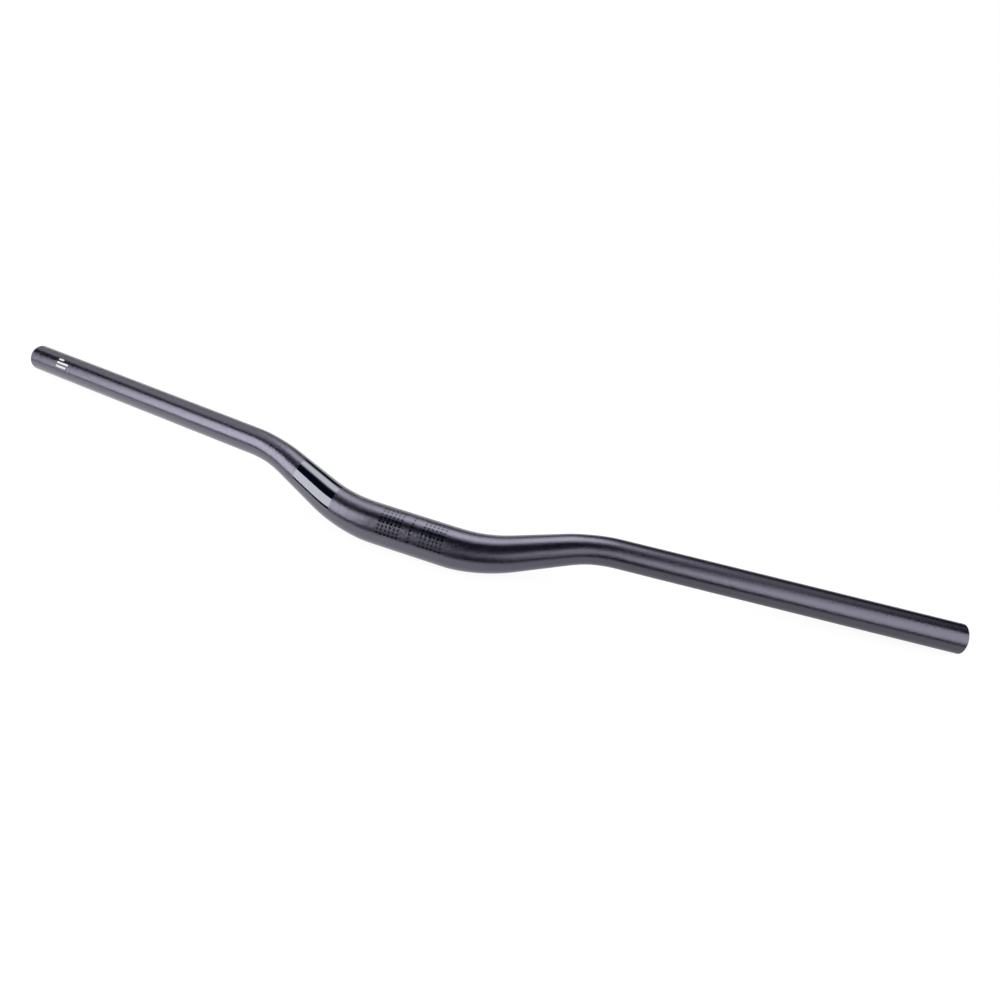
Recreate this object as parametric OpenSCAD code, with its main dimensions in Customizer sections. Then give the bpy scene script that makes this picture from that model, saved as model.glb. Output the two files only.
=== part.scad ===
// Riser handlebar: one drawn tube, swaged down from a thick clamp seat to thin grips and bent twice
// on each side. The sizes are set for the bar as it is ridden. It is then turned about its clamp axis
// until it lies on a flat surface, on the clamp seat and on both end rims.

/* [Bar] */
// Width between the centres of the two end rims
bar_w = 800; // [700:5:840]
// Height of the outer bends' corners over the clamp axis
rise = 32.2; // [10:0.1:45]
// Angle by which the grips turn back towards the rider
back_sweep = 7; // [4:0.5:12]
// Angle by which the grips climb towards their ends
up_sweep = 5; // [0:0.5:8]

/* [Clamp seat] */
// Diameter that the stem closes round
clamp_d = 31.8; // [25.4:0.1:35]
// Wall of the tube at the clamp seat
clamp_wall = 2.4; // [1.6:0.1:3.6]

/* [Grips] */
// Diameter that the grips and levers slide over
grip_d = 22.2; // [19:0.1:24]
// Wall of the tube at the grips
grip_wall = 2; // [1.2:0.1:3]
// Width of the chamfers on both edges of each end rim
end_chamfer = 0.5; // [0.1:0.1:1]

/* [Bends] */
// Distance from the middle to the corner of each inner bend
bend_1_x = 54.8; // [45:0.1:70]
// Centreline radius of the inner bends
bend_1_r = 130; // [60:1:180]
// Distance from the middle to the corner of each outer bend
bend_2_x = 133; // [115:0.5:180]
// Centreline radius of the outer bends
bend_2_r = 120; // [60:1:160]

/* [Taper] */
// Distance along the tube, from its middle, at which the taper starts
taper_start = 36; // [20:0.5:60]
// Distance along the tube, from its middle, at which the taper ends
taper_end = 136.5; // [110:0.5:200]

/* [Hidden] */
$fn = 96;

// Radii of the tube's two surfaces
clamp_r = clamp_d / 2;
clamp_bore_r = clamp_r - clamp_wall;
grip_r = grip_d / 2;
grip_bore_r = grip_r - grip_wall;

// The swept stretch between the round seat and the straight grip
sweep_sides = 36;
sweep_steps = 20;
// How far the swept wall runs into the straight walls at its two ends
sweep_overlap = 1.5;
// How far it lies inside both faces of those walls
sweep_inset = 0.03;
// One overrun for every cut
overrun = 1;
// Least part of the rim that its two chamfers leave flat
rim_flat_share = 0.2;

// Directions and corners of the centreline, for the bar's +X half
seat_dir = [1, 0, 0];
rider_dir = [0, 1, 0];
grip_dir = [cos(back_sweep) * cos(up_sweep), sin(back_sweep) * cos(up_sweep), sin(up_sweep)];
corner_1 = [bend_1_x, 0, 0];
corner_2 = [bend_2_x, 0, rise];
leg_dir = (corner_2 - corner_1) / norm(corner_2 - corner_1);
bar_end = corner_2 + grip_dir * (bar_w / 2 - bend_2_x) / grip_dir[0];

// Bends: how far each turns, and how far its ends lie from its corner
turn_1 = acos(seat_dir * leg_dir);
turn_2 = acos(leg_dir * grip_dir);
setback_1 = bend_1_r * tan(turn_1 / 2);
setback_2 = bend_2_r * tan(turn_2 / 2);

// Distances along the tube, from its middle, to where each run and each bend begins
bend_1_at = bend_1_x - setback_1;
leg_at = bend_1_at + arc_length(bend_1_r, turn_1);
bend_2_at = leg_at + norm(corner_2 - corner_1) - setback_1 - setback_2;
grip_at = bend_2_at + arc_length(bend_2_r, turn_2);
end_at = grip_at + norm(bar_end - corner_2) - setback_2;

// The seat stays round and straight up to the first of bend and taper, the grip after the last
seat_half = min(bend_1_at, taper_start);
straight_at = max(grip_at, taper_end);

// Turn that brings the end rims level with the underside of the seat
lie_tilt = tilt_for(rim_reach(tilt_for(grip_r)));

// Length of an arc of radius r that turns by an angle
function arc_length(r, turn) = r * turn * PI / 180;

// Direction at right angles to u, on the side of w
function aside(u, w) = (w - u * (u * w)) / norm(w - u * (u * w));

// Heading after a distance s round a bend of radius r that turns from u towards w
function bend_dir(u, w, r, s) = let (a = s / r * 180 / PI) u * cos(a) + aside(u, w) * sin(a);

// Place after that distance, from the bend's start
function bend_offset(u, w, r, s) = let (a = s / r * 180 / PI) (u * sin(a) + aside(u, w) * (1 - cos(a))) * r;

// Heading of the centreline at a distance s from the middle
function heading(s) =
    s < bend_1_at ? seat_dir
    : s < leg_at ? bend_dir(seat_dir, leg_dir, bend_1_r, s - bend_1_at)
    : s < bend_2_at ? leg_dir
    : s < grip_at ? bend_dir(leg_dir, grip_dir, bend_2_r, s - bend_2_at)
    : grip_dir;

// Point of the centreline at a distance s from the middle
function centre(s) =
    s < bend_1_at ? seat_dir * s
    : s < leg_at ? seat_dir * bend_1_at + bend_offset(seat_dir, leg_dir, bend_1_r, s - bend_1_at)
    : s < bend_2_at ? corner_1 + leg_dir * (setback_1 + s - leg_at)
    : s < grip_at ? corner_2 - leg_dir * setback_2 + bend_offset(leg_dir, grip_dir, bend_2_r, s - bend_2_at)
    : corner_2 + grip_dir * (setback_2 + s - grip_at);

// Radius at a distance s, going evenly from one value to the other along the taper
function tapered(from_r, to_r, s) =
    let (share = min(max((s - taper_start) / (taper_end - taper_start), 0), 1)) from_r + (to_r - from_r) * share;

// Ring of points with radius r, square to the centreline at a distance s
function ring(s, r) =
    let (ahead = heading(s), across = aside(ahead, rider_dir), over = cross(ahead, across))
    [for (i = [0 : sweep_sides - 1])
        let (a = 360 * i / sweep_sides) centre(s) + (across * cos(a) + over * sin(a)) * r];

// Height of a side's end rim over its lowest point, when the bar is turned by tilt
function rim_reach(tilt) = let (climb = grip_dir[2] * cos(tilt) - grip_dir[1] * sin(tilt)) grip_r * sqrt(1 - climb * climb);

// Turn at which the end's centre lies that height over the underside of the seat
function tilt_for(reach) = atan2(bar_end[2], bar_end[1]) - asin((reach - clamp_r) / norm([bar_end[1], bar_end[2]]));

// Round, straight wall of the clamp seat
module clamp_seat() {
    rotate([0, 90, 0])
        difference() {
            cylinder(h = 2 * seat_half, r = clamp_r, center = true);
            cylinder(h = 2 * (seat_half + overrun), r = clamp_bore_r, center = true);
        }
}

// Bent and tapered wall between the seat and one grip
module swept_wall() {
    reach = straight_at - seat_half;
    stations = concat(
        [seat_half - sweep_overlap],
        [for (k = [0 : sweep_steps]) seat_half + reach * k / sweep_steps],
        [straight_at + sweep_overlap]
    );
    last = len(stations) - 1;
    side = sweep_sides;
    outer = [for (s = stations) each ring(s, tapered(clamp_r, grip_r, s) - sweep_inset)];
    // the bore's flats, and not its corners, lie on the wall
    flats = cos(180 / side);
    inner = [for (s = stations) each ring(s, (tapered(clamp_bore_r, grip_bore_r, s) + sweep_inset) / flats)];
    hollow = len(outer);
    skins = [
        for (k = [0 : last - 1], i = [0 : side - 1])
            let (j = (i + 1) % side, a = k * side + i, b = k * side + j, c = a + side, d = b + side)
            each [
                [a, d, b], [a, c, d],
                [hollow + a, hollow + b, hollow + d], [hollow + a, hollow + d, hollow + c],
            ]
    ];
    rims = [
        for (i = [0 : side - 1])
            let (j = (i + 1) % side, far = last * side)
            each [
                [i, j, hollow + j], [i, hollow + j, hollow + i],
                [far + i, hollow + far + j, far + j], [far + i, hollow + far + i, hollow + far + j],
            ]
    ];
    polyhedron(points = concat(outer, inner), faces = concat(skins, rims));
}

// Straight wall of one grip, with its chamfered rim
module grip_wall_tube() {
    length = end_at - straight_at;
    chamfer = min(end_chamfer, grip_wall * (1 - rim_flat_share) / 2);
    translate(centre(straight_at))
        rotate([0, acos(grip_dir[2]), atan2(grip_dir[1], grip_dir[0])])
            rotate_extrude()
                polygon([
                    [grip_bore_r, 0],
                    [grip_r, 0],
                    [grip_r, length - chamfer],
                    [grip_r - chamfer, length],
                    [grip_bore_r + chamfer, length],
                    [grip_bore_r, length - chamfer],
                ]);
}

module handlebar() {
    color("#4b4952")
        rotate([-lie_tilt, 0, 0])
            union() {
                clamp_seat();
                for (side = [0, 1])
                    mirror([side, 0, 0]) {
                        swept_wall();
                        grip_wall_tube();
                    }
            }
}

handlebar();
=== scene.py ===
# %% [markdown]
# # A riser handlebar, dressed for a studio photograph
# The object is one aluminium tube: thick in the middle, where the stem clamps it, thin at the grips,
# and bent twice on each side so that the hands sit higher and further back. It lies on a white table.
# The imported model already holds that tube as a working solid, so this lesson starts from it and gives
# it the smooth skin, the dark anodised finish and the glossy prints of the real bar.

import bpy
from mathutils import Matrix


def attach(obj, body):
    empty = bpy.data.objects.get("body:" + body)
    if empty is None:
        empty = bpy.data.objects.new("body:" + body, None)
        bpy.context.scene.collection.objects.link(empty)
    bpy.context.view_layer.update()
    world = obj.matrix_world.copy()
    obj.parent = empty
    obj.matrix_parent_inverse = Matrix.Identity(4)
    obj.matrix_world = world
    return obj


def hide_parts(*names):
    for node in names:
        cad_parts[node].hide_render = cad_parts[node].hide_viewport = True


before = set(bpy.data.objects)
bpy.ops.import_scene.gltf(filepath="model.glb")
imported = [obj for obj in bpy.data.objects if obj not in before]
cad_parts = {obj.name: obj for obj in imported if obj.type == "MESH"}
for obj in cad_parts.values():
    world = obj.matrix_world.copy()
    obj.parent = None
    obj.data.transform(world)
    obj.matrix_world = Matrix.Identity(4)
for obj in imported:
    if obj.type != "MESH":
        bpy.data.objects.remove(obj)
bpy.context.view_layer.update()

import bpy
import numpy as np
from mathutils import Matrix

MM = 0.001
BODY = "root"

# %% [markdown]
# ## The camera
# The photograph looks down on the bar from the front, a little to one side, with a fairly wide lens
# held close. That is why the near grip looks thicker than the far one. The camera is set by the point
# of the table under the middle of the picture, its distance, two angles and a slight roll, because
# those are the numbers that a photographer would write down. It could also be aimed with a Track To
# constraint, but a matrix made from the three angles can't drift.

# %% Place the camera
AIM = np.array([45.9, 71.5, -15.9]) * MM
CAMERA_AWAY = 636.0 * MM
CAMERA_AZIMUTH = np.radians(17.162)
CAMERA_ELEVATION = np.radians(48.983)
CAMERA_ROLL = np.radians(3.946)
LENS_MM = 27.85
SENSOR_MM = 36.0
NEAREST_SEEN = 10.0 * MM


def direction(azimuth, elevation):
    """Unit vector from the object to a viewer: azimuth 0 stands on -Y and turns towards +X, elevation
    is the height over the table. (sin a cos e, -cos a cos e, sin e)."""
    flat = np.cos(elevation)
    return np.array([np.sin(azimuth) * flat, -np.cos(azimuth) * flat, np.sin(elevation)])


def camera_matrix(back, roll, place):
    """Columns are right, up and back: right is level and square to back, up is square to both, and
    then the first two are turned by roll about back."""
    right = np.cross([0.0, 0.0, 1.0], back)
    right /= np.linalg.norm(right)
    up = np.cross(back, right)
    turned_right = right * np.cos(roll) + up * np.sin(roll)
    turned_up = up * np.cos(roll) - right * np.sin(roll)
    matrix = np.eye(4)
    matrix[:3, 0] = turned_right
    matrix[:3, 1] = turned_up
    matrix[:3, 2] = back
    matrix[:3, 3] = place
    return Matrix(matrix.tolist())


camera_back = direction(CAMERA_AZIMUTH, CAMERA_ELEVATION)
camera_data = bpy.data.cameras.new("studio_camera")
camera_data.sensor_width = SENSOR_MM
camera_data.lens = LENS_MM
camera_data.clip_start = NEAREST_SEEN
camera = bpy.data.objects.new("studio_camera", camera_data)
bpy.context.collection.objects.link(camera)
camera.matrix_world = camera_matrix(camera_back, CAMERA_ROLL, AIM + camera_back * CAMERA_AWAY)
bpy.context.scene.camera = camera
bpy.context.scene.view_settings.view_transform = "Standard"
print("camera at", np.round(AIM + camera_back * CAMERA_AWAY, 4))

# %% [markdown]
# ## The centreline
# The real tube is bent on a mandrel: straight, arc, straight, arc, straight. Seen as a function of the
# distance travelled along it, each run is a line and each bend a piece of a circle, so the whole
# centreline has an exact formula and needs no curve object. The sizes are those of the solid model.

# %% Name the sizes of the tube
BAR_WIDTH = 800.0 * MM
RISE = 32.2 * MM
BACK_SWEEP = np.radians(7.0)
UP_SWEEP = np.radians(5.0)
CLAMP_R = 15.9 * MM
CLAMP_WALL = 2.4 * MM
GRIP_R = 11.1 * MM
GRIP_WALL = 2.0 * MM
BEND_1_X = 54.8 * MM
BEND_1_R = 130.0 * MM
BEND_2_X = 133.0 * MM
BEND_2_R = 120.0 * MM
TAPER_START = 36.0 * MM
TAPER_END = 136.5 * MM

# %% Work out the corners and bends
SEAT_DIR = np.array([1.0, 0.0, 0.0])
LEVEL = np.cos(UP_SWEEP)
GRIP_DIR = np.array([np.cos(BACK_SWEEP) * LEVEL, np.sin(BACK_SWEEP) * LEVEL, np.sin(UP_SWEEP)])
CORNER_1 = np.array([BEND_1_X, 0.0, 0.0])
CORNER_2 = np.array([BEND_2_X, 0.0, RISE])
LEG_DIR = (CORNER_2 - CORNER_1) / np.linalg.norm(CORNER_2 - CORNER_1)
BAR_END = CORNER_2 + GRIP_DIR * (BAR_WIDTH / 2 - BEND_2_X) / GRIP_DIR[0]
TURN_1 = np.arccos(SEAT_DIR @ LEG_DIR)
TURN_2 = np.arccos(LEG_DIR @ GRIP_DIR)
SETBACK_1 = BEND_1_R * np.tan(TURN_1 / 2)
SETBACK_2 = BEND_2_R * np.tan(TURN_2 / 2)
BEND_1_AT = BEND_1_X - SETBACK_1
LEG_AT = BEND_1_AT + BEND_1_R * TURN_1
BEND_2_AT = LEG_AT + np.linalg.norm(CORNER_2 - CORNER_1) - SETBACK_1 - SETBACK_2
GRIP_AT = BEND_2_AT + BEND_2_R * TURN_2
END_AT = GRIP_AT + np.linalg.norm(BAR_END - CORNER_2) - SETBACK_2
print("turns", np.degrees([TURN_1, TURN_2]).round(2), "half length mm", round(END_AT / MM, 2))


# %% Measure how far the bar is tipped as it lies
def rim_reach(tilt):
    """How far an end rim reaches under its own centre once the bar is tipped by tilt: the grip's
    radius times the level part of the grip's direction."""
    climb = GRIP_DIR[2] * np.cos(tilt) - GRIP_DIR[1] * np.sin(tilt)
    return GRIP_R * np.sqrt(1 - climb * climb)


def tilt_for(reach):
    """The tip at which the end's centre is that reach over the underside of the clamp seat."""
    arm = np.hypot(BAR_END[1], BAR_END[2])
    return np.arctan2(BAR_END[2], BAR_END[1]) - np.arcsin((reach - CLAMP_R) / arm)


LIE_TILT = tilt_for(rim_reach(tilt_for(GRIP_R)))
LIE_COS = np.cos(LIE_TILT)
LIE_SIN = np.sin(LIE_TILT)
LAID = np.array([[1.0, 0.0, 0.0], [0.0, LIE_COS, LIE_SIN], [0.0, -LIE_SIN, LIE_COS]])
print("tipped by", round(float(np.degrees(LIE_TILT)), 3), "degrees")


# %% Follow the centreline
def unit(v):
    """v over its own length, row by row."""
    return v / np.linalg.norm(v, axis=-1, keepdims=True)


def aside(u, w):
    """Unit vector square to u, on the side of w."""
    return unit(w - u * (u @ w))


def arc_run(s, radius, ahead, side):
    """Travel s round a circle: ahead r sin(s/r) + side r (1 - cos(s/r)), and its heading."""
    turn = (s / radius)[:, None]
    place = radius * (ahead * np.sin(turn) + side * (1 - np.cos(turn)))
    return place, ahead * np.cos(turn) + side * np.sin(turn)


def half_centreline(s):
    """Place and heading on the +X half at a distance s of 0 or more from the middle. Each run is
    worked out for every s, and the one that s falls in is taken."""
    bend_1, head_1 = arc_run(s - BEND_1_AT, BEND_1_R, SEAT_DIR, aside(SEAT_DIR, LEG_DIR))
    bend_2, head_2 = arc_run(s - BEND_2_AT, BEND_2_R, LEG_DIR, aside(LEG_DIR, GRIP_DIR))
    along = s[:, None]
    places = [
        SEAT_DIR * along,
        SEAT_DIR * BEND_1_AT + bend_1,
        CORNER_1 + LEG_DIR * (SETBACK_1 + along - LEG_AT),
        CORNER_2 - LEG_DIR * SETBACK_2 + bend_2,
        CORNER_2 + GRIP_DIR * (SETBACK_2 + along - GRIP_AT),
    ]
    level = np.ones_like(along)
    headings = [SEAT_DIR * level, head_1, LEG_DIR * level, head_2, GRIP_DIR * level]
    run = np.searchsorted([BEND_1_AT, LEG_AT, BEND_2_AT, GRIP_AT], s)
    pick = np.arange(len(s))
    return np.stack(places)[run, pick], np.stack(headings)[run, pick]


def centreline(s):
    """Place and heading at a signed distance s: the -X half is the +X half mirrored in x, and the
    heading always points towards +X."""
    place, heading = half_centreline(np.abs(s))
    side = np.where(s < 0, -1.0, 1.0)[:, None]
    place = place * np.hstack([side, np.ones_like(side), np.ones_like(side)])
    heading = heading * np.hstack([np.ones_like(side), side, side])
    return place, heading


# %% [markdown]
# ## Any point of a wall
# Every surface here, the tube and each print on it, is made of points given by two numbers and a
# radius: how far along the tube, and at which angle round it. The angle is 0 on the side that faces
# forwards when the bar is ridden and 90 degrees on top. One function turns those into places, so
# whatever is printed on the tube lies on it exactly, in the bends and on the taper too.

# %% Turn length, angle and radius into places
FORWARDS = np.array([0.0, -1.0, 0.0])
TAPER_LENGTH = TAPER_END - TAPER_START
TAPER_EASE = 6.0 * MM / TAPER_LENGTH
SEAT_INSET = 0.02 * MM
SWEEP_INSET = 0.09 * MM
SWEEP_MIDDLE = 110.0 * MM
SWEEP_HALF = 50.0 * MM
INSET_EASE = 30.0 * MM


def ramp_sum(t):
    """Area under a ramp that is 0 up to 0, t up to 1 and 1 after it: t squared over 2, then t - 1/2."""
    inside = np.clip(t, 0.0, 1.0)
    return inside * inside / 2 + np.maximum(t - 1.0, 0.0)


def tapered(s, seat, grip):
    """A radius that is seat up to the taper and grip after it. The even ramp between them is averaged
    over a short length, (area(t + ease) - area(t - ease)) / (2 ease), so that no corner is left."""
    t = (np.abs(s) - TAPER_START) / TAPER_LENGTH
    share = (ramp_sum(t + TAPER_EASE) - ramp_sum(t - TAPER_EASE)) / (2 * TAPER_EASE)
    return seat + (grip - seat) * share


def skin_inset(s):
    """How far the skin lies inside the true circle: SEAT_INSET on the seat and grips, and SWEEP_INSET
    where the solid's flats cut inside it, with a short even change between them."""
    outside = np.abs(np.abs(s) - SWEEP_MIDDLE) - SWEEP_HALF
    share = np.clip(1.0 - outside / INSET_EASE, 0.0, 1.0)
    return SEAT_INSET + (SWEEP_INSET - SEAT_INSET) * share


def outer_radius(s):
    """Radius of the outer wall at a distance s."""
    return tapered(s, CLAMP_R, GRIP_R) - skin_inset(s)


def bore_radius(s):
    """Radius of the bore at a distance s: the wall thins from the seat to the grips as well."""
    return tapered(s, CLAMP_R - CLAMP_WALL, GRIP_R - GRIP_WALL)


def wall_points(s, angle, radius):
    """C(s) + r (front cos a + up sin a), tipped as the bar lies. s, angle and radius are arrays of
    one shape; front is the forward direction squared to the heading, and up is square to both."""
    place, heading = centreline(s.ravel())
    front = unit(FORWARDS - heading * (heading @ FORWARDS)[:, None])
    up = np.cross(front, heading)
    turn = angle.ravel()[:, None]
    out = front * np.cos(turn) + up * np.sin(turn)
    points = (place + out * radius.ravel()[:, None]) @ LAID.T
    return points.reshape(s.shape + (3,))


top = wall_points(np.array([0.0]), np.array([np.pi / 2]), np.array([CLAMP_R]))
print("ridden top of the clamp seat, mm", (top / MM).round(2))

# %% [markdown]
# ## One closed skin for the whole tube
# A tube has an outer wall, two rims and a bore, and it is tempting to make four pieces of them. They
# are one profile, though: out along the outer wall, over the rim with its two broken edges, back
# along the bore and over the other rim. Carried round the centreline, that loop of rows makes a grid
# that closes on itself both ways, so it has no seam, no pole and no open edge. Rows are close in the
# bends and wide on the straight grips, where a tube needs few of them.

# %% Lay out the rows of the profile
EDGE = 0.5 * MM
EDGE_ROWS = 6
GUARD = 0.05 * MM
STRAIGHT_FROM = GRIP_AT
SEAT_STEP = 5.0 * MM
BEND_STEP = 2.5 * MM
GRIP_STEP = 9.0 * MM
SIDES = 128


def even(start, stop, step):
    """Even stations from start up to, but without, stop, no further apart than step."""
    count = int(np.ceil((stop - start) / step))
    return np.linspace(start, stop, count, endpoint=False)


def half_stations():
    """Stations of the +X half from the middle to just inside the rounded edge of the rim."""
    seat = even(0.0, BEND_1_AT, SEAT_STEP)
    bends = even(BEND_1_AT, STRAIGHT_FROM, BEND_STEP)
    last = END_AT - SEAT_INSET - EDGE - GUARD
    grip = even(STRAIGHT_FROM, last, GRIP_STEP)
    return np.concatenate([seat, bends, grip, [last]])


def rim_profile():
    """Stations and radii over the +X rim, from the outer wall to the bore. Both edges are quarter
    circles of radius EDGE, and a guard row on each side keeps the flat between them flat."""
    quarter = np.linspace(0.0, np.pi / 2, EDGE_ROWS)
    bore = GRIP_R - GRIP_WALL
    face = END_AT - SEAT_INSET
    out_s = face - EDGE + EDGE * np.sin(quarter)
    wall = GRIP_R - SEAT_INSET
    out_r = wall - EDGE + EDGE * np.cos(quarter)
    in_s = out_s[::-1]
    in_r = bore + EDGE - EDGE * np.cos(quarter[::-1])
    flat_r = np.array([wall - EDGE - GUARD, bore + EDGE + GUARD])
    s = np.concatenate([out_s, [face, face], in_s])
    r = np.concatenate([out_r, flat_r, in_r])
    return s, r


half = half_stations()
whole = np.concatenate([-half[:0:-1], half])
rim_s, rim_r = rim_profile()
row_s = np.concatenate([whole, rim_s, whole[::-1], -rim_s[::-1]])
row_r = np.concatenate([outer_radius(whole), rim_r, bore_radius(whole[::-1]), rim_r[::-1]])
outer_rows = len(whole)
print("rows", len(row_s), "of which on the outer wall", outer_rows, "sides", SIDES)


# %% Carry the profile round the centreline
def wrapped_quads(rows, sides):
    """Quads of a grid whose last row meets its first and whose last column meets its first."""
    k = np.arange(rows)[:, None]
    j = np.arange(sides)[None, :]
    next_k = (k + 1) % rows
    next_j = (j + 1) % sides
    corners = [k * sides + j, next_k * sides + j, next_k * sides + next_j, k * sides + next_j]
    return np.stack(np.broadcast_arrays(*corners), axis=-1).reshape(-1, 4)


def sleeve_place(s, angle, radius):
    """The place a point would have on the tube before it was bent: (r cos a, r sin a, s). Patterns
    that run with the tube read this, so that they follow its bends and meet all the way round."""
    return np.stack([radius * np.cos(angle), radius * np.sin(angle), s], axis=-1)


def new_piece(name, points, faces, sleeve, materials, slots):
    """A smooth mesh object at the origin, with its straightened places kept as an attribute. slots
    gives each face's place in the list of materials."""
    mesh = bpy.data.meshes.new(name)
    mesh.from_pydata(points.reshape(-1, 3).tolist(), [], faces.tolist())
    mesh.polygons.foreach_set("use_smooth", np.ones(len(faces), dtype=bool))
    mesh.polygons.foreach_set("material_index", slots)
    kept = mesh.attributes.new("sleeve", "FLOAT_VECTOR", "POINT")
    kept.data.foreach_set("vector", sleeve.reshape(-1).astype(np.float32))
    for material in materials:
        mesh.materials.append(material)
    mesh.update()
    piece = bpy.data.objects.new(name, mesh)
    bpy.context.collection.objects.link(piece)
    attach(piece, BODY)
    return piece


grid_s = np.repeat(row_s[:, None], SIDES, axis=1)
grid_r = np.repeat(row_r[:, None], SIDES, axis=1)
grid_a = np.repeat(np.linspace(0.0, 2 * np.pi, SIDES, endpoint=False)[None, :], len(row_s), axis=0)
bar_points = wall_points(grid_s, grid_a, grid_r)
bar_quads = wrapped_quads(len(row_s), SIDES)
bar_low = bar_points.min((0, 1)) / MM
bar_high = bar_points.max((0, 1)) / MM
print("the tube spans, mm", bar_low.round(2), bar_high.round(2))

# %% [markdown]
# ## A small language for shaders
# A procedural finish is arithmetic on a few patterns. Written as node calls it is hard to read, so one
# class wraps a socket and lets plain expressions add the Math nodes, and one method makes any other
# node from its type, its settings and its sockets.


# %% Write shader maths as expressions
class Value:
    """A number that a node gives. Arithmetic with it adds a Math node and gives its result."""

    def __init__(self, graph, socket):
        self.graph = graph
        self.socket = socket

    def math(self, operation, first, second):
        """The named operation on two values or numbers."""
        return self.graph.node("ShaderNodeMath", {"operation": operation}, {0: first, 1: second})

    def __add__(self, other):
        return self.math("ADD", self, other)

    def __radd__(self, other):
        return self.math("ADD", other, self)

    def __sub__(self, other):
        return self.math("SUBTRACT", self, other)

    def __rsub__(self, other):
        return self.math("SUBTRACT", other, self)

    def __mul__(self, other):
        return self.math("MULTIPLY", self, other)

    def __rmul__(self, other):
        return self.math("MULTIPLY", other, self)


def pick_socket(sockets, key):
    """The socket at a place, or the one of that name which the node's settings leave switched on."""
    if isinstance(key, int):
        return sockets[key]
    return next(socket for socket in sockets if socket.name == key and socket.enabled)


class Graph:
    """The nodes of one material, or of the world."""

    def __init__(self, owner):
        owner.use_nodes = True
        self.nodes = owner.node_tree.nodes
        self.links = owner.node_tree.links
        self.nodes.clear()

    def node(self, kind, settings, sockets, output=0):
        """Makes a node, sets its settings first, then gives each named socket a number, a colour or
        a link, and returns the wanted output."""
        made = self.nodes.new(kind)
        for name, setting in settings.items():
            setattr(made, name, setting)
        for name, value in sockets.items():
            if isinstance(value, Value):
                self.links.new(value.socket, pick_socket(made.inputs, name))
            else:
                pick_socket(made.inputs, name).default_value = value
        return Value(self, pick_socket(made.outputs, output)) if len(made.outputs) else made


def new_finish(name):
    """An empty material and its graph."""
    material = bpy.data.materials.new(name)
    return material, Graph(material)


# %% [markdown]
# ## The satin skin
# The tube is polished on a belt that runs round it, blasted with fine beads and then anodised dark.
# The beads break up the mirror of the metal, so lamps show as long soft bands with blurred edges, and
# the dye gives them a cool violet grey. The colour is therefore the metal's own reflection, with
# Metallic at 1. The blurring could all come from Roughness, but that spreads a thin veil of every lamp
# over the dark gaps between them. So much of it comes from a bump: an even grain for the beads, and
# fine grooves where the belt ran round the tube, which blur a lamp further along the tube than round
# it. The grooves are a noise in the straightened places, squeezed along the tube. The dye and the
# blast vary a little from place to place, which a wide noise brings in.

# %% Make the satin finish
SATIN_LIGHT = (0.149, 0.143, 0.178, 1.0)
SATIN_DEEP = (0.132, 0.127, 0.158, 1.0)
SATIN_ROUGHNESS = 0.21
ROUGHNESS_SWING = 0.03
GRAINS_PER_M = 1000.0
CLOUDS_PER_M = 55.0
GRAIN_HEIGHT = 0.12 * MM
GROOVES_PER_M = 2000.0
GROOVE_STRETCH = 0.12
GROOVE_HEIGHT = 0.12 * MM
CLOUD_SHARE = 0.5
NOISE_MIDDLE = 0.5
NOISE_ROUGHNESS = 0.6
PLAIN_DETAIL = 1.0
SOME_DETAIL = 2.0
MORE_DETAIL = 3.0


def noise(graph, place, scale, detail):
    """A cloudy value from 0 to 1 that repeats about scale times a metre."""
    sockets = {"Vector": place, "Scale": scale, "Detail": detail, "Roughness": NOISE_ROUGHNESS}
    return graph.node("ShaderNodeTexNoise", {}, sockets)


def two_tone(graph, share, dark, light):
    """The colour that lies the given share of the way from dark to light."""
    sockets = {"Factor": share, "A": dark, "B": light}
    return graph.node("ShaderNodeMix", {"data_type": "RGBA"}, sockets, "Result")


def scaled(graph, place, scale):
    """A place with each of its three numbers times its own scale."""
    return graph.node("ShaderNodeVectorMath", {"operation": "MULTIPLY"}, {0: place, 1: scale})


def bumped(graph, height, distance, strength=1.0):
    """The surface's direction, tipped by the slope of a height map distance deep."""
    sockets = {"Height": height, "Distance": distance, "Strength": strength}
    return graph.node("ShaderNodeBump", {}, sockets)


def finish_surface(graph, sockets):
    """A Principled surface with the given sockets, joined to the material's output."""
    surface = graph.node("ShaderNodeBsdfPrincipled", {}, sockets)
    graph.node("ShaderNodeOutputMaterial", {}, {"Surface": surface})


satin, graph = new_finish("satin_anodised")
place = graph.node("ShaderNodeTexCoord", {}, {}, "Object")
grain = noise(graph, place, GRAINS_PER_M, SOME_DETAIL)
cloud = noise(graph, place, CLOUDS_PER_M, MORE_DETAIL)
sleeve = graph.node("ShaderNodeAttribute", {"attribute_name": "sleeve"}, {}, "Vector")
squeezed = scaled(graph, sleeve, (GROOVE_STRETCH, GROOVE_STRETCH, 1.0))
grooves = noise(graph, squeezed, GROOVES_PER_M, SOME_DETAIL)
marks = grain * (GRAIN_HEIGHT / GROOVE_HEIGHT) + grooves
tint = cloud * CLOUD_SHARE + grain * (1.0 - CLOUD_SHARE)
finish_surface(
    graph,
    {
        "Base Color": two_tone(graph, tint, SATIN_DEEP, SATIN_LIGHT),
        "Metallic": 1.0,
        "Roughness": SATIN_ROUGHNESS + (cloud - NOISE_MIDDLE) * ROUGHNESS_SWING,
        "Normal": bumped(graph, marks, GROOVE_HEIGHT),
    },
)
print("made", satin.name)

# %% [markdown]
# ## The cut rims and the bore
# Bars are cut to length in a lathe before they are anodised, so each rim keeps fine rings from the
# tool under its dark colour, and the bore keeps the long draw lines of the tube. Both patterns belong
# to the tube and not to the room, so they are read from the straightened places: rings from the
# distance to the axis, draw lines from a noise that is stretched along the tube.

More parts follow.
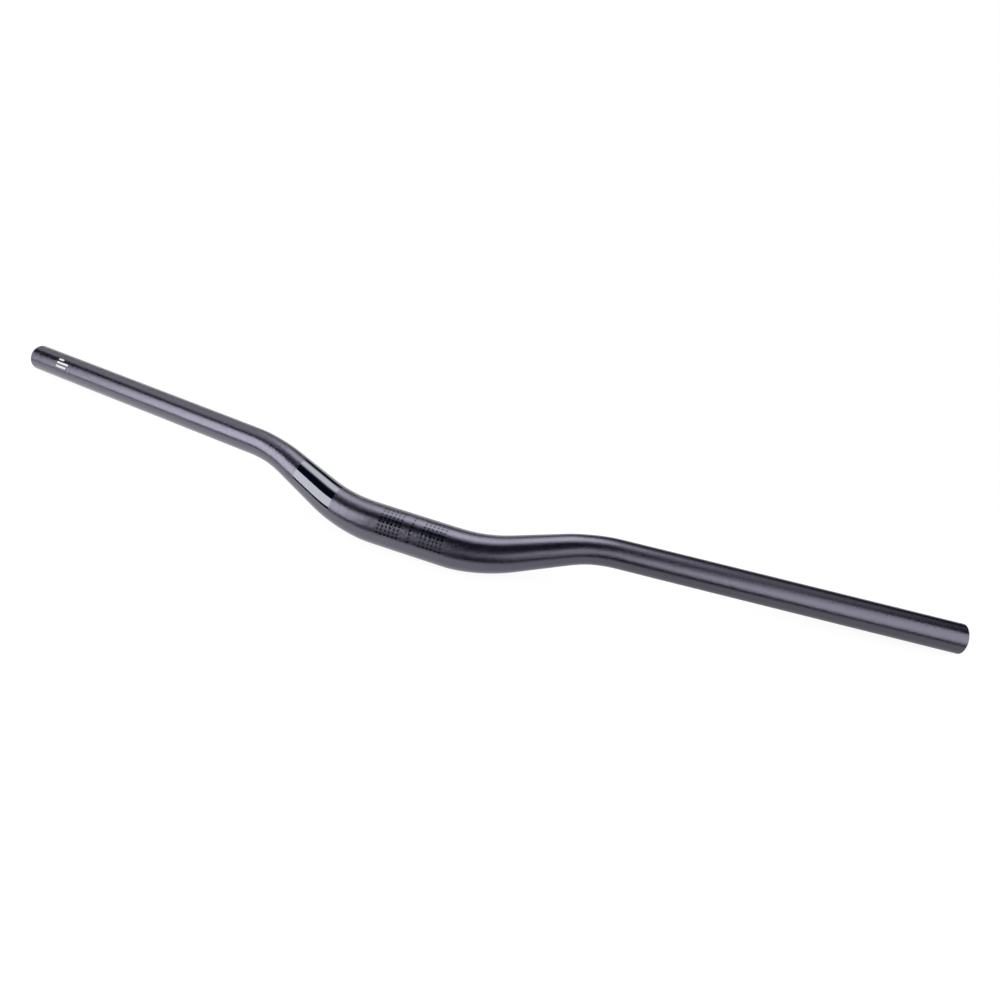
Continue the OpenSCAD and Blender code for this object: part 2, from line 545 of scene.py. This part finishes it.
# %% Make the rim and bore finishes
RIM_LIGHT = (0.150, 0.146, 0.172, 1.0)
RIM_DEEP = (0.118, 0.114, 0.136, 1.0)
RIM_ROUGHNESS = 0.24
RIM_SWING = 0.1
RINGS_PER_M = 5200.0
RING_HEIGHT = 0.01 * MM
BORE_LIGHT = (0.150, 0.146, 0.170, 1.0)
BORE_DEEP = (0.100, 0.097, 0.114, 1.0)
BORE_ROUGHNESS = 0.36
BORE_SWING = 0.14
LINES_PER_M = 900.0
LINE_STRETCH = 0.012
LINE_HEIGHT = 0.02 * MM
TOOL_MARK_STRENGTH = 0.4

turned, graph = new_finish("turned_rim")
sleeve = graph.node("ShaderNodeAttribute", {"attribute_name": "sleeve"}, {}, "Vector")
flat = scaled(graph, sleeve, (1.0, 1.0, 0.0))
from_axis = graph.node("ShaderNodeVectorMath", {"operation": "LENGTH"}, {0: flat}, "Value")
across = graph.node("ShaderNodeCombineXYZ", {}, {"X": from_axis, "Y": 0.0, "Z": 0.0})
rings = noise(graph, across, RINGS_PER_M, PLAIN_DETAIL)
finish_surface(
    graph,
    {
        "Base Color": two_tone(graph, rings, RIM_DEEP, RIM_LIGHT),
        "Metallic": 1.0,
        "Roughness": RIM_ROUGHNESS + rings * RIM_SWING,
        "Normal": bumped(graph, rings, RING_HEIGHT, TOOL_MARK_STRENGTH),
    },
)

drawn, graph = new_finish("drawn_bore")
sleeve = graph.node("ShaderNodeAttribute", {"attribute_name": "sleeve"}, {}, "Vector")
stretched = scaled(graph, sleeve, (1.0, 1.0, LINE_STRETCH))
lines = noise(graph, stretched, LINES_PER_M, MORE_DETAIL)
finish_surface(
    graph,
    {
        "Base Color": two_tone(graph, lines, BORE_DEEP, BORE_LIGHT),
        "Metallic": 1.0,
        "Roughness": BORE_ROUGHNESS + lines * BORE_SWING,
        "Normal": bumped(graph, lines, LINE_HEIGHT, TOOL_MARK_STRENGTH),
    },
)
print("made", turned.name, drawn.name)

# %% [markdown]
# ## Dress the tube
# The rows of the grid lie in a known order: the outer wall, one rim, the bore and the other rim. Each
# face therefore takes its finish from its row. Three objects would do as well, but they would need
# seams where the finishes meet, and here a finish simply changes from one row to the next.

# %% Dress the tube
OUTSIDE, RIM, BORE = range(3)

row_finish = np.full(len(row_s), BORE)
row_finish[: outer_rows - 1] = OUTSIDE
rim_rows = len(rim_s)
row_finish[outer_rows : outer_rows + rim_rows - 1] = RIM
row_finish[len(row_s) - rim_rows : len(row_s) - 1] = RIM
bar = new_piece(
    "bar_skin",
    bar_points,
    bar_quads,
    sleeve_place(grid_s, grid_a, grid_r),
    [satin, turned, drawn],
    np.repeat(row_finish, SIDES),
)
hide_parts("handlebar")
print(bar.name, "faces", len(bar.data.polygons))

# %% [markdown]
# ## Prints as skins of their own
# The marks on the bar are glossy and dark, with crisp edges. They could be a mask in the tube's own
# material, but a texture baked for an 800 mm tube would blur dots of 2 mm. Each mark is therefore a
# very thin closed skin, a few hundredths of a millimetre proud, laid on the tube by the same function
# that made it. A mark is a grid of stations and angles; a second grid just under the surface and a
# strip round the border close it. The edges round the top are marked sharp: smooth shading over them
# would bend the reflections near the border and give each mark a bright outline.

# %% Close a patch into a thin skin
PRINT_PROUD = 0.02 * MM
PRINT_SUNK = 0.03 * MM


def skin_faces(rows, columns):
    """Quads of a closed skin: the top grid, the same grid turned over underneath it, and a strip
    between their borders. Rows run along the tube and columns round it."""
    k = np.arange(rows - 1)[:, None]
    j = np.arange(columns - 1)[None, :]
    a = k * columns + j
    top = np.stack([a, a + columns, a + columns + 1, a + 1], axis=-1).reshape(-1, 4)
    under = top[:, ::-1] + rows * columns
    grid = np.arange(rows * columns).reshape(rows, columns)
    border = np.concatenate([grid[:-1, 0], grid[-1, :-1], grid[:0:-1, -1], grid[0, :0:-1]])
    following = np.roll(border, -1)
    strip = np.stack([following, border, border + rows * columns, following + rows * columns], axis=-1)
    return np.concatenate([top, under, strip])


def sharpen_border(mesh, patches, rows, columns):
    """Marks as sharp every edge that has both its ends on the border of a top, or of an underside.
    Such an edge runs along the border, as the grids have no edge from one border to another."""
    on_border = np.ones((rows, columns), dtype=bool)
    on_border[1:-1, 1:-1] = False
    level = np.tile(np.concatenate([on_border.ravel(), on_border.ravel() * 2]), patches)
    ends = np.empty(len(mesh.edges) * 2, dtype=np.int32)
    mesh.edges.foreach_get("vertices", ends)
    first, second = level[ends.reshape(-1, 2)].T
    mesh.edges.foreach_set("use_edge_sharp", (first == second) & (first > 0))
    mesh.update()


def print_skin(name, s, angle, material):
    """Lays patches on the tube. s and angle have the shape (patches, rows, columns)."""
    patches, rows, columns = s.shape
    stations = np.stack([s, s], axis=1)
    angles = np.stack([angle, angle], axis=1)
    lift = np.array([PRINT_PROUD, -PRINT_SUNK])[None, :, None, None]
    radii = outer_radius(stations) + lift
    points = wall_points(stations, angles, radii)
    one = skin_faces(rows, columns)
    step = 2 * rows * columns
    faces = (one[None] + (np.arange(patches) * step)[:, None, None]).reshape(-1, 4)
    slots = np.zeros(len(faces), dtype=int)
    piece = new_piece(name, points, faces, sleeve_place(stations, angles, radii), [material], slots)
    sharpen_border(piece.data, patches, rows, columns)
    return piece


# %% [markdown]
# ## The gloss black of the prints
# On the bar the prints are as dark as the anodising but smooth, so they mirror the lamps and the
# dark room between them with sharp edges: the same spot is white under one lamp and black beside it.
# The finish is the same dark metal with a low roughness. A faint orange peel, wider than the bead
# marks, keeps the mirror from being perfect. The panel mirrors as much as the satin, and the small
# dots, laid on more thickly, about half of that, so that they stay dark marks in any light.

# %% Make the gloss finishes
PANEL_LIGHT = (0.152, 0.158, 0.176, 1.0)
PANEL_DEEP = (0.140, 0.146, 0.163, 1.0)
DOT_LIGHT = (0.066, 0.069, 0.077, 1.0)
DOT_DEEP = (0.058, 0.061, 0.068, 1.0)
GLOSS_ROUGHNESS = 0.05
GLOSS_SWING = 0.05
PEEL_PER_M = 420.0
PEEL_HEIGHT = 0.006 * MM
PEEL_STRENGTH = 0.25


def gloss_finish(name, deep, light):
    """Smooth dark metal between two shades, with a faint orange peel."""
    material, graph = new_finish(name)
    place = graph.node("ShaderNodeTexCoord", {}, {}, "Object")
    peel = noise(graph, place, PEEL_PER_M, SOME_DETAIL)
    finish_surface(
        graph,
        {
            "Base Color": two_tone(graph, peel, deep, light),
            "Metallic": 1.0,
            "Roughness": GLOSS_ROUGHNESS + peel * GLOSS_SWING,
            "Normal": bumped(graph, peel, PEEL_HEIGHT, PEEL_STRENGTH),
        },
    )
    return material


panel_gloss = gloss_finish("gloss_black_panel", PANEL_DEEP, PANEL_LIGHT)
dot_gloss = gloss_finish("gloss_black_dots", DOT_DEEP, DOT_LIGHT)
print("made", panel_gloss.name, dot_gloss.name)

# %% [markdown]
# ## The gloss panel on one leg
# A window of gloss wraps over the leg on the bar's -X side. Its two ends are cut at a slight slant,
# given as the length by which they move along the tube for each degree round it. The panel is a grid
# whose stations run between those two slanted lines, and it needs rows close enough to follow the
# bend that it lies on.

# %% Lay the gloss panel
PANEL_LOW = np.radians(-43.0)
PANEL_HIGH = np.radians(68.0)
PANEL_FAR = -105.4 * MM
PANEL_NEAR = -65.4 * MM
FAR_SLANT = -0.047 * MM
NEAR_SLANT = -0.032 * MM
PANEL_ROWS = 31
PANEL_COLUMNS = 41

panel_a = np.linspace(PANEL_LOW, PANEL_HIGH, PANEL_COLUMNS)[None, :]
panel_far = PANEL_FAR + FAR_SLANT * np.degrees(panel_a)
panel_near = PANEL_NEAR + NEAR_SLANT * np.degrees(panel_a)
panel_share = np.linspace(0.0, 1.0, PANEL_ROWS)[:, None]
panel_s = panel_far + (panel_near - panel_far) * panel_share
panel = print_skin("leg_panel", panel_s[None], np.broadcast_to(panel_a, panel_s.shape)[None], panel_gloss)
print(panel.name, "faces", len(panel.data.polygons))

# %% [markdown]
# ## The grid of dots on the clamp seat
# Two blocks of small gloss squares and one column between them help to set the bar in its stem: the
# rows show how far it is rolled and the columns whether it is centred. All the squares are one small
# patch with rounded corners, repeated by adding an array of places to it.

# %% Lay the dots
DOT_HALF = 0.92 * MM
DOT_HALF_ROUND = 0.9 * MM
DOT_CORNER = 0.35 * MM
DOT_PITCH = 3.2 * MM
DOT_TURN = np.radians(10.9)
DOT_TOP = np.radians(43.5)
DOT_ROWS = 8
BLOCK_COLUMNS = 6
LEFT_BLOCK_AT = -22.6 * MM
MIDDLE_AT = 2.5 * MM
RIGHT_BLOCK_AT = 11.9 * MM
CORNER_STEPS = 4


def rounded_patch(half_s, half_round, corner, steps):
    """A patch with rounded corners, as distances along and round the tube from its middle. Columns
    gather near its two edges, and each row is drawn in by corner - sqrt(corner^2 - over^2), where over
    is how far the column has gone into the corner."""
    gather = np.linspace(0.0, np.pi / 2, steps)
    into = half_round - corner + corner * np.sin(gather)
    columns = np.concatenate([-into[::-1], into])
    over = np.clip(np.abs(columns) - (half_round - corner), 0.0, corner)
    width = half_s - corner + np.sqrt(np.maximum(corner * corner - over * over, 0.0))
    share = np.array([-1.0, 0.0, 1.0])[:, None]
    return share * width[None, :], np.broadcast_to(columns[None, :], (len(share), len(columns)))


columns_at = np.concatenate(
    [
        LEFT_BLOCK_AT + DOT_PITCH * np.arange(BLOCK_COLUMNS),
        [MIDDLE_AT],
        RIGHT_BLOCK_AT + DOT_PITCH * np.arange(BLOCK_COLUMNS),
    ]
)
rows_at = DOT_TOP - DOT_TURN * np.arange(DOT_ROWS)
dot_s, dot_a = (grid.ravel() for grid in np.meshgrid(columns_at, rows_at, indexing="ij"))
patch_s, patch_round = rounded_patch(DOT_HALF, DOT_HALF_ROUND, DOT_CORNER, CORNER_STEPS)
dots = print_skin(
    "clamp_dots",
    dot_s[:, None, None] + patch_s[None],
    dot_a[:, None, None] + patch_round[None] / CLAMP_R,
    dot_gloss,
)
print(dots.name, "dots", len(dot_s), "faces", len(dots.data.polygons))

# %% [markdown]
# ## The marks at one end
# Near the end of the -X grip sit a short gloss stripe and three small white dashes, a plain place
# marker for the lever or the grip. The dashes are white ink, a little uneven like any pad print.

# %% Make the white ink
INK_LIGHT = (0.90, 0.90, 0.91, 1.0)
INK_DEEP = (0.80, 0.80, 0.82, 1.0)
INK_ROUGHNESS = 0.42
INK_SWING = 0.1
SPECKS_PER_M = 1800.0
SPECK_HEIGHT = 0.01 * MM
SPECK_STRENGTH = 0.3

ink, graph = new_finish("white_ink")
place = graph.node("ShaderNodeTexCoord", {}, {}, "Object")
specks = noise(graph, place, SPECKS_PER_M, SOME_DETAIL)
finish_surface(
    graph,
    {
        "Base Color": two_tone(graph, specks, INK_DEEP, INK_LIGHT),
        "Metallic": 0.0,
        "Roughness": INK_ROUGHNESS + specks * INK_SWING,
        "Normal": bumped(graph, specks, SPECK_HEIGHT, SPECK_STRENGTH),
    },
)
print("made", ink.name)

# %% Lay the stripe and the dashes
STRIPE_FROM = -398.5 * MM
STRIPE_TO = -379.0 * MM
STRIPE_LOW = np.radians(2.0)
STRIPE_HIGH = np.radians(20.0)
DASH_FROM = -376.0 * MM
DASH_ENDS = np.array([-370.1, -362.8, -364.3]) * MM
DASH_MIDDLES = np.radians([14.0, -2.5, -20.0])
DASH_HALF_ROUND = 0.85 * MM
MARK_CORNER = 0.4 * MM


def mark(start, stop, middle, half_round):
    """Stations and angles of one rounded mark on the straight grip."""
    along, around = rounded_patch((stop - start) / 2, half_round, MARK_CORNER, CORNER_STEPS)
    return (start + stop) / 2 + along, middle + around / GRIP_R


stripe_half = (STRIPE_HIGH - STRIPE_LOW) / 2 * GRIP_R
stripe_middle = (STRIPE_HIGH + STRIPE_LOW) / 2
stripe_s, stripe_a = mark(STRIPE_FROM, STRIPE_TO, stripe_middle, stripe_half)
stripe = print_skin("end_stripe", stripe_s[None], stripe_a[None], panel_gloss)
dash_places = zip(DASH_ENDS, DASH_MIDDLES)
dash_marks = [mark(DASH_FROM, stop, middle, DASH_HALF_ROUND) for stop, middle in dash_places]
dash_s = np.stack([one[0] for one in dash_marks])
dash_a = np.stack([one[1] for one in dash_marks])
dashes = print_skin("end_dashes", dash_s, dash_a, ink)
print(stripe.name, dashes.name)

# %% [markdown]
# ## The white table
# The photograph was taken on a white table, so bright that it has no edge in the picture. The metal
# shows more of it: the table ends near the bar, which gives the dark strips at the horizon, its two
# long edges run at a slant, and it looks brighter on the left. So it is a flat sheet with four
# corners. It is white for the camera. For whatever mirrors it, its glow carries painted light: a colour
# ramp that is bright on the left and falls off to the right, in place of lamp light falling off across
# the table. The last part of its white is a matt surface under the lamps, so that the bar lays a faint
# shadow on it.

# %% Lay the table
TABLE_HALF = 0.8
TABLE_FRONT_LEFT = -0.61
TABLE_FRONT_RIGHT = -0.18
TABLE_BACK_LEFT = 0.93
TABLE_BACK_RIGHT = -0.1
FLOOR_UNDER = 15.92 * MM
TABLE_GLOW = 0.88
TABLE_GREY = (0.2, 0.2, 0.2, 1.0)
WHITE = (1.0, 1.0, 1.0, 1.0)
# Painted light: the two glow colours that the metal sees, bright at the left end of the table and dim at
# the right.
PAINTED_LIGHT_LEFT = (0.97, 0.97, 0.97, 1.0)
PAINTED_LIGHT_RIGHT = (0.45, 0.45, 0.45, 1.0)
PAINTED_LIGHT_FROM = -0.145
PAINTED_LIGHT_TO = 0.216

table_mesh = bpy.data.meshes.new("table")
table_corners = [
    (-TABLE_HALF, TABLE_FRONT_LEFT, -FLOOR_UNDER),
    (TABLE_HALF, TABLE_FRONT_RIGHT, -FLOOR_UNDER),
    (TABLE_HALF, TABLE_BACK_RIGHT, -FLOOR_UNDER),
    (-TABLE_HALF, TABLE_BACK_LEFT, -FLOOR_UNDER),
]
table_mesh.from_pydata(table_corners, [], [(0, 1, 2, 3)])
table = bpy.data.objects.new("table", table_mesh)
bpy.context.collection.objects.link(table)

table_finish, graph = new_finish("table_white")
seen = graph.node("ShaderNodeLightPath", {}, {}, "Is Camera Ray")
mirrored = graph.node("ShaderNodeLightPath", {}, {}, "Is Glossy Ray")
through = graph.node("ShaderNodeLightPath", {}, {}, "Is Transmission Ray")
place = graph.node("ShaderNodeTexCoord", {}, {}, "Object")
along = graph.node("ShaderNodeSeparateXYZ", {}, {"Vector": place}, "X")
# Painted light: for mirrored rays the glow colour ramps from bright on the left to dim on the right,
# standing in for lamp light across the table.
reach = {"Value": along, "From Min": PAINTED_LIGHT_FROM, "From Max": PAINTED_LIGHT_TO}
painted_light = two_tone(graph, graph.node("ShaderNodeMapRange", {}, reach), PAINTED_LIGHT_LEFT, PAINTED_LIGHT_RIGHT)
shown = two_tone(graph, seen, painted_light, WHITE)
glow = seen * TABLE_GLOW + mirrored + through
white = graph.node("ShaderNodeEmission", {}, {"Color": shown, "Strength": glow})
matt = graph.node("ShaderNodeBsdfDiffuse", {}, {"Color": TABLE_GREY})
both = graph.node("ShaderNodeAddShader", {}, {0: white, 1: matt})
graph.node("ShaderNodeOutputMaterial", {}, {"Surface": both})
table_mesh.materials.append(table_finish)
print("table at", -FLOOR_UNDER)

# %% [markdown]
# ## The room and its lamps
# Dark metal shows nothing of its own: it shows the room. The photograph's bands are large soft lamps:
# one stands behind the bar with a brighter core, one on each side of the camera with a weak one
# between them, and one more low at the back left. Overhead is a dark gap, and it looks blue where it
# is darkest. So the room is a deep blue to the metal and white to the camera, and each lamp is a large
# area light that is set by where it stands as seen from the bar, how far away, and how bright it looks.

# %% Darken the room
ROOM_TO_METAL = (0.014, 0.016, 0.045, 1.0)
ROOM_TO_MATT = 0.1

world = bpy.data.worlds.new("studio")
bpy.context.scene.world = world
graph = Graph(world)
seen = graph.node("ShaderNodeLightPath", {}, {}, "Is Camera Ray")
mirrored = graph.node("ShaderNodeLightPath", {}, {}, "Is Glossy Ray")
through = graph.node("ShaderNodeLightPath", {}, {}, "Is Transmission Ray")
matt_share = 1.0 - seen - mirrored - through
room_light = seen + through + mirrored + matt_share * ROOM_TO_MATT
room_colour = two_tone(graph, mirrored, WHITE, ROOM_TO_METAL)
backdrop = graph.node("ShaderNodeBackground", {}, {"Color": room_colour, "Strength": room_light})
graph.node("ShaderNodeOutputWorld", {}, {"Surface": backdrop})
print("room", ROOM_TO_METAL)

# %% Hang the lamps
POWER_PER_BRIGHTNESS = np.pi


def hang_lamp(name, azimuth, elevation, away, size, roll, brightness):
    """A one-sided area light that faces the bar. A matt lamp that looks as bright as white paper sends
    out pi watts for each square metre, so its power is brightness times area times pi."""
    back = direction(np.radians(azimuth), np.radians(elevation))
    light = bpy.data.lights.new(name, "AREA")
    light.shape = "RECTANGLE"
    light.size = size[0]
    light.size_y = size[1]
    light.energy = brightness * size[0] * size[1] * POWER_PER_BRIGHTNESS
    lamp = bpy.data.objects.new(name, light)
    bpy.context.collection.objects.link(lamp)
    lamp.matrix_world = camera_matrix(back, np.radians(roll), back * away)
    lamp.visible_camera = False
    print(name, "watts", round(light.energy, 1))


hang_lamp(
    "back_lamp", azimuth=165.0, elevation=46.7, away=0.87, size=(1.01, 0.86), roll=0.0, brightness=0.47
)
hang_lamp(
    "core_lamp", azimuth=186.8, elevation=48.7, away=0.7, size=(0.52, 0.41), roll=-38.0, brightness=1.6
)
hang_lamp(
    "left_lamp", azimuth=-59.2, elevation=30.9, away=1.5, size=(0.95, 1.25), roll=21.0, brightness=3.35
)
hang_lamp(
    "front_lamp", azimuth=-19.0, elevation=31.0, away=1.57, size=(0.85, 1.2), roll=-12.0, brightness=0.34
)
hang_lamp(
    "right_lamp", azimuth=61.5, elevation=38.0, away=1.9, size=(2.55, 1.57), roll=9.0, brightness=1.7
)
hang_lamp(
    "low_lamp", azimuth=-141.0, elevation=33.8, away=2.25, size=(2.15, 2.1), roll=0.0, brightness=0.82
)
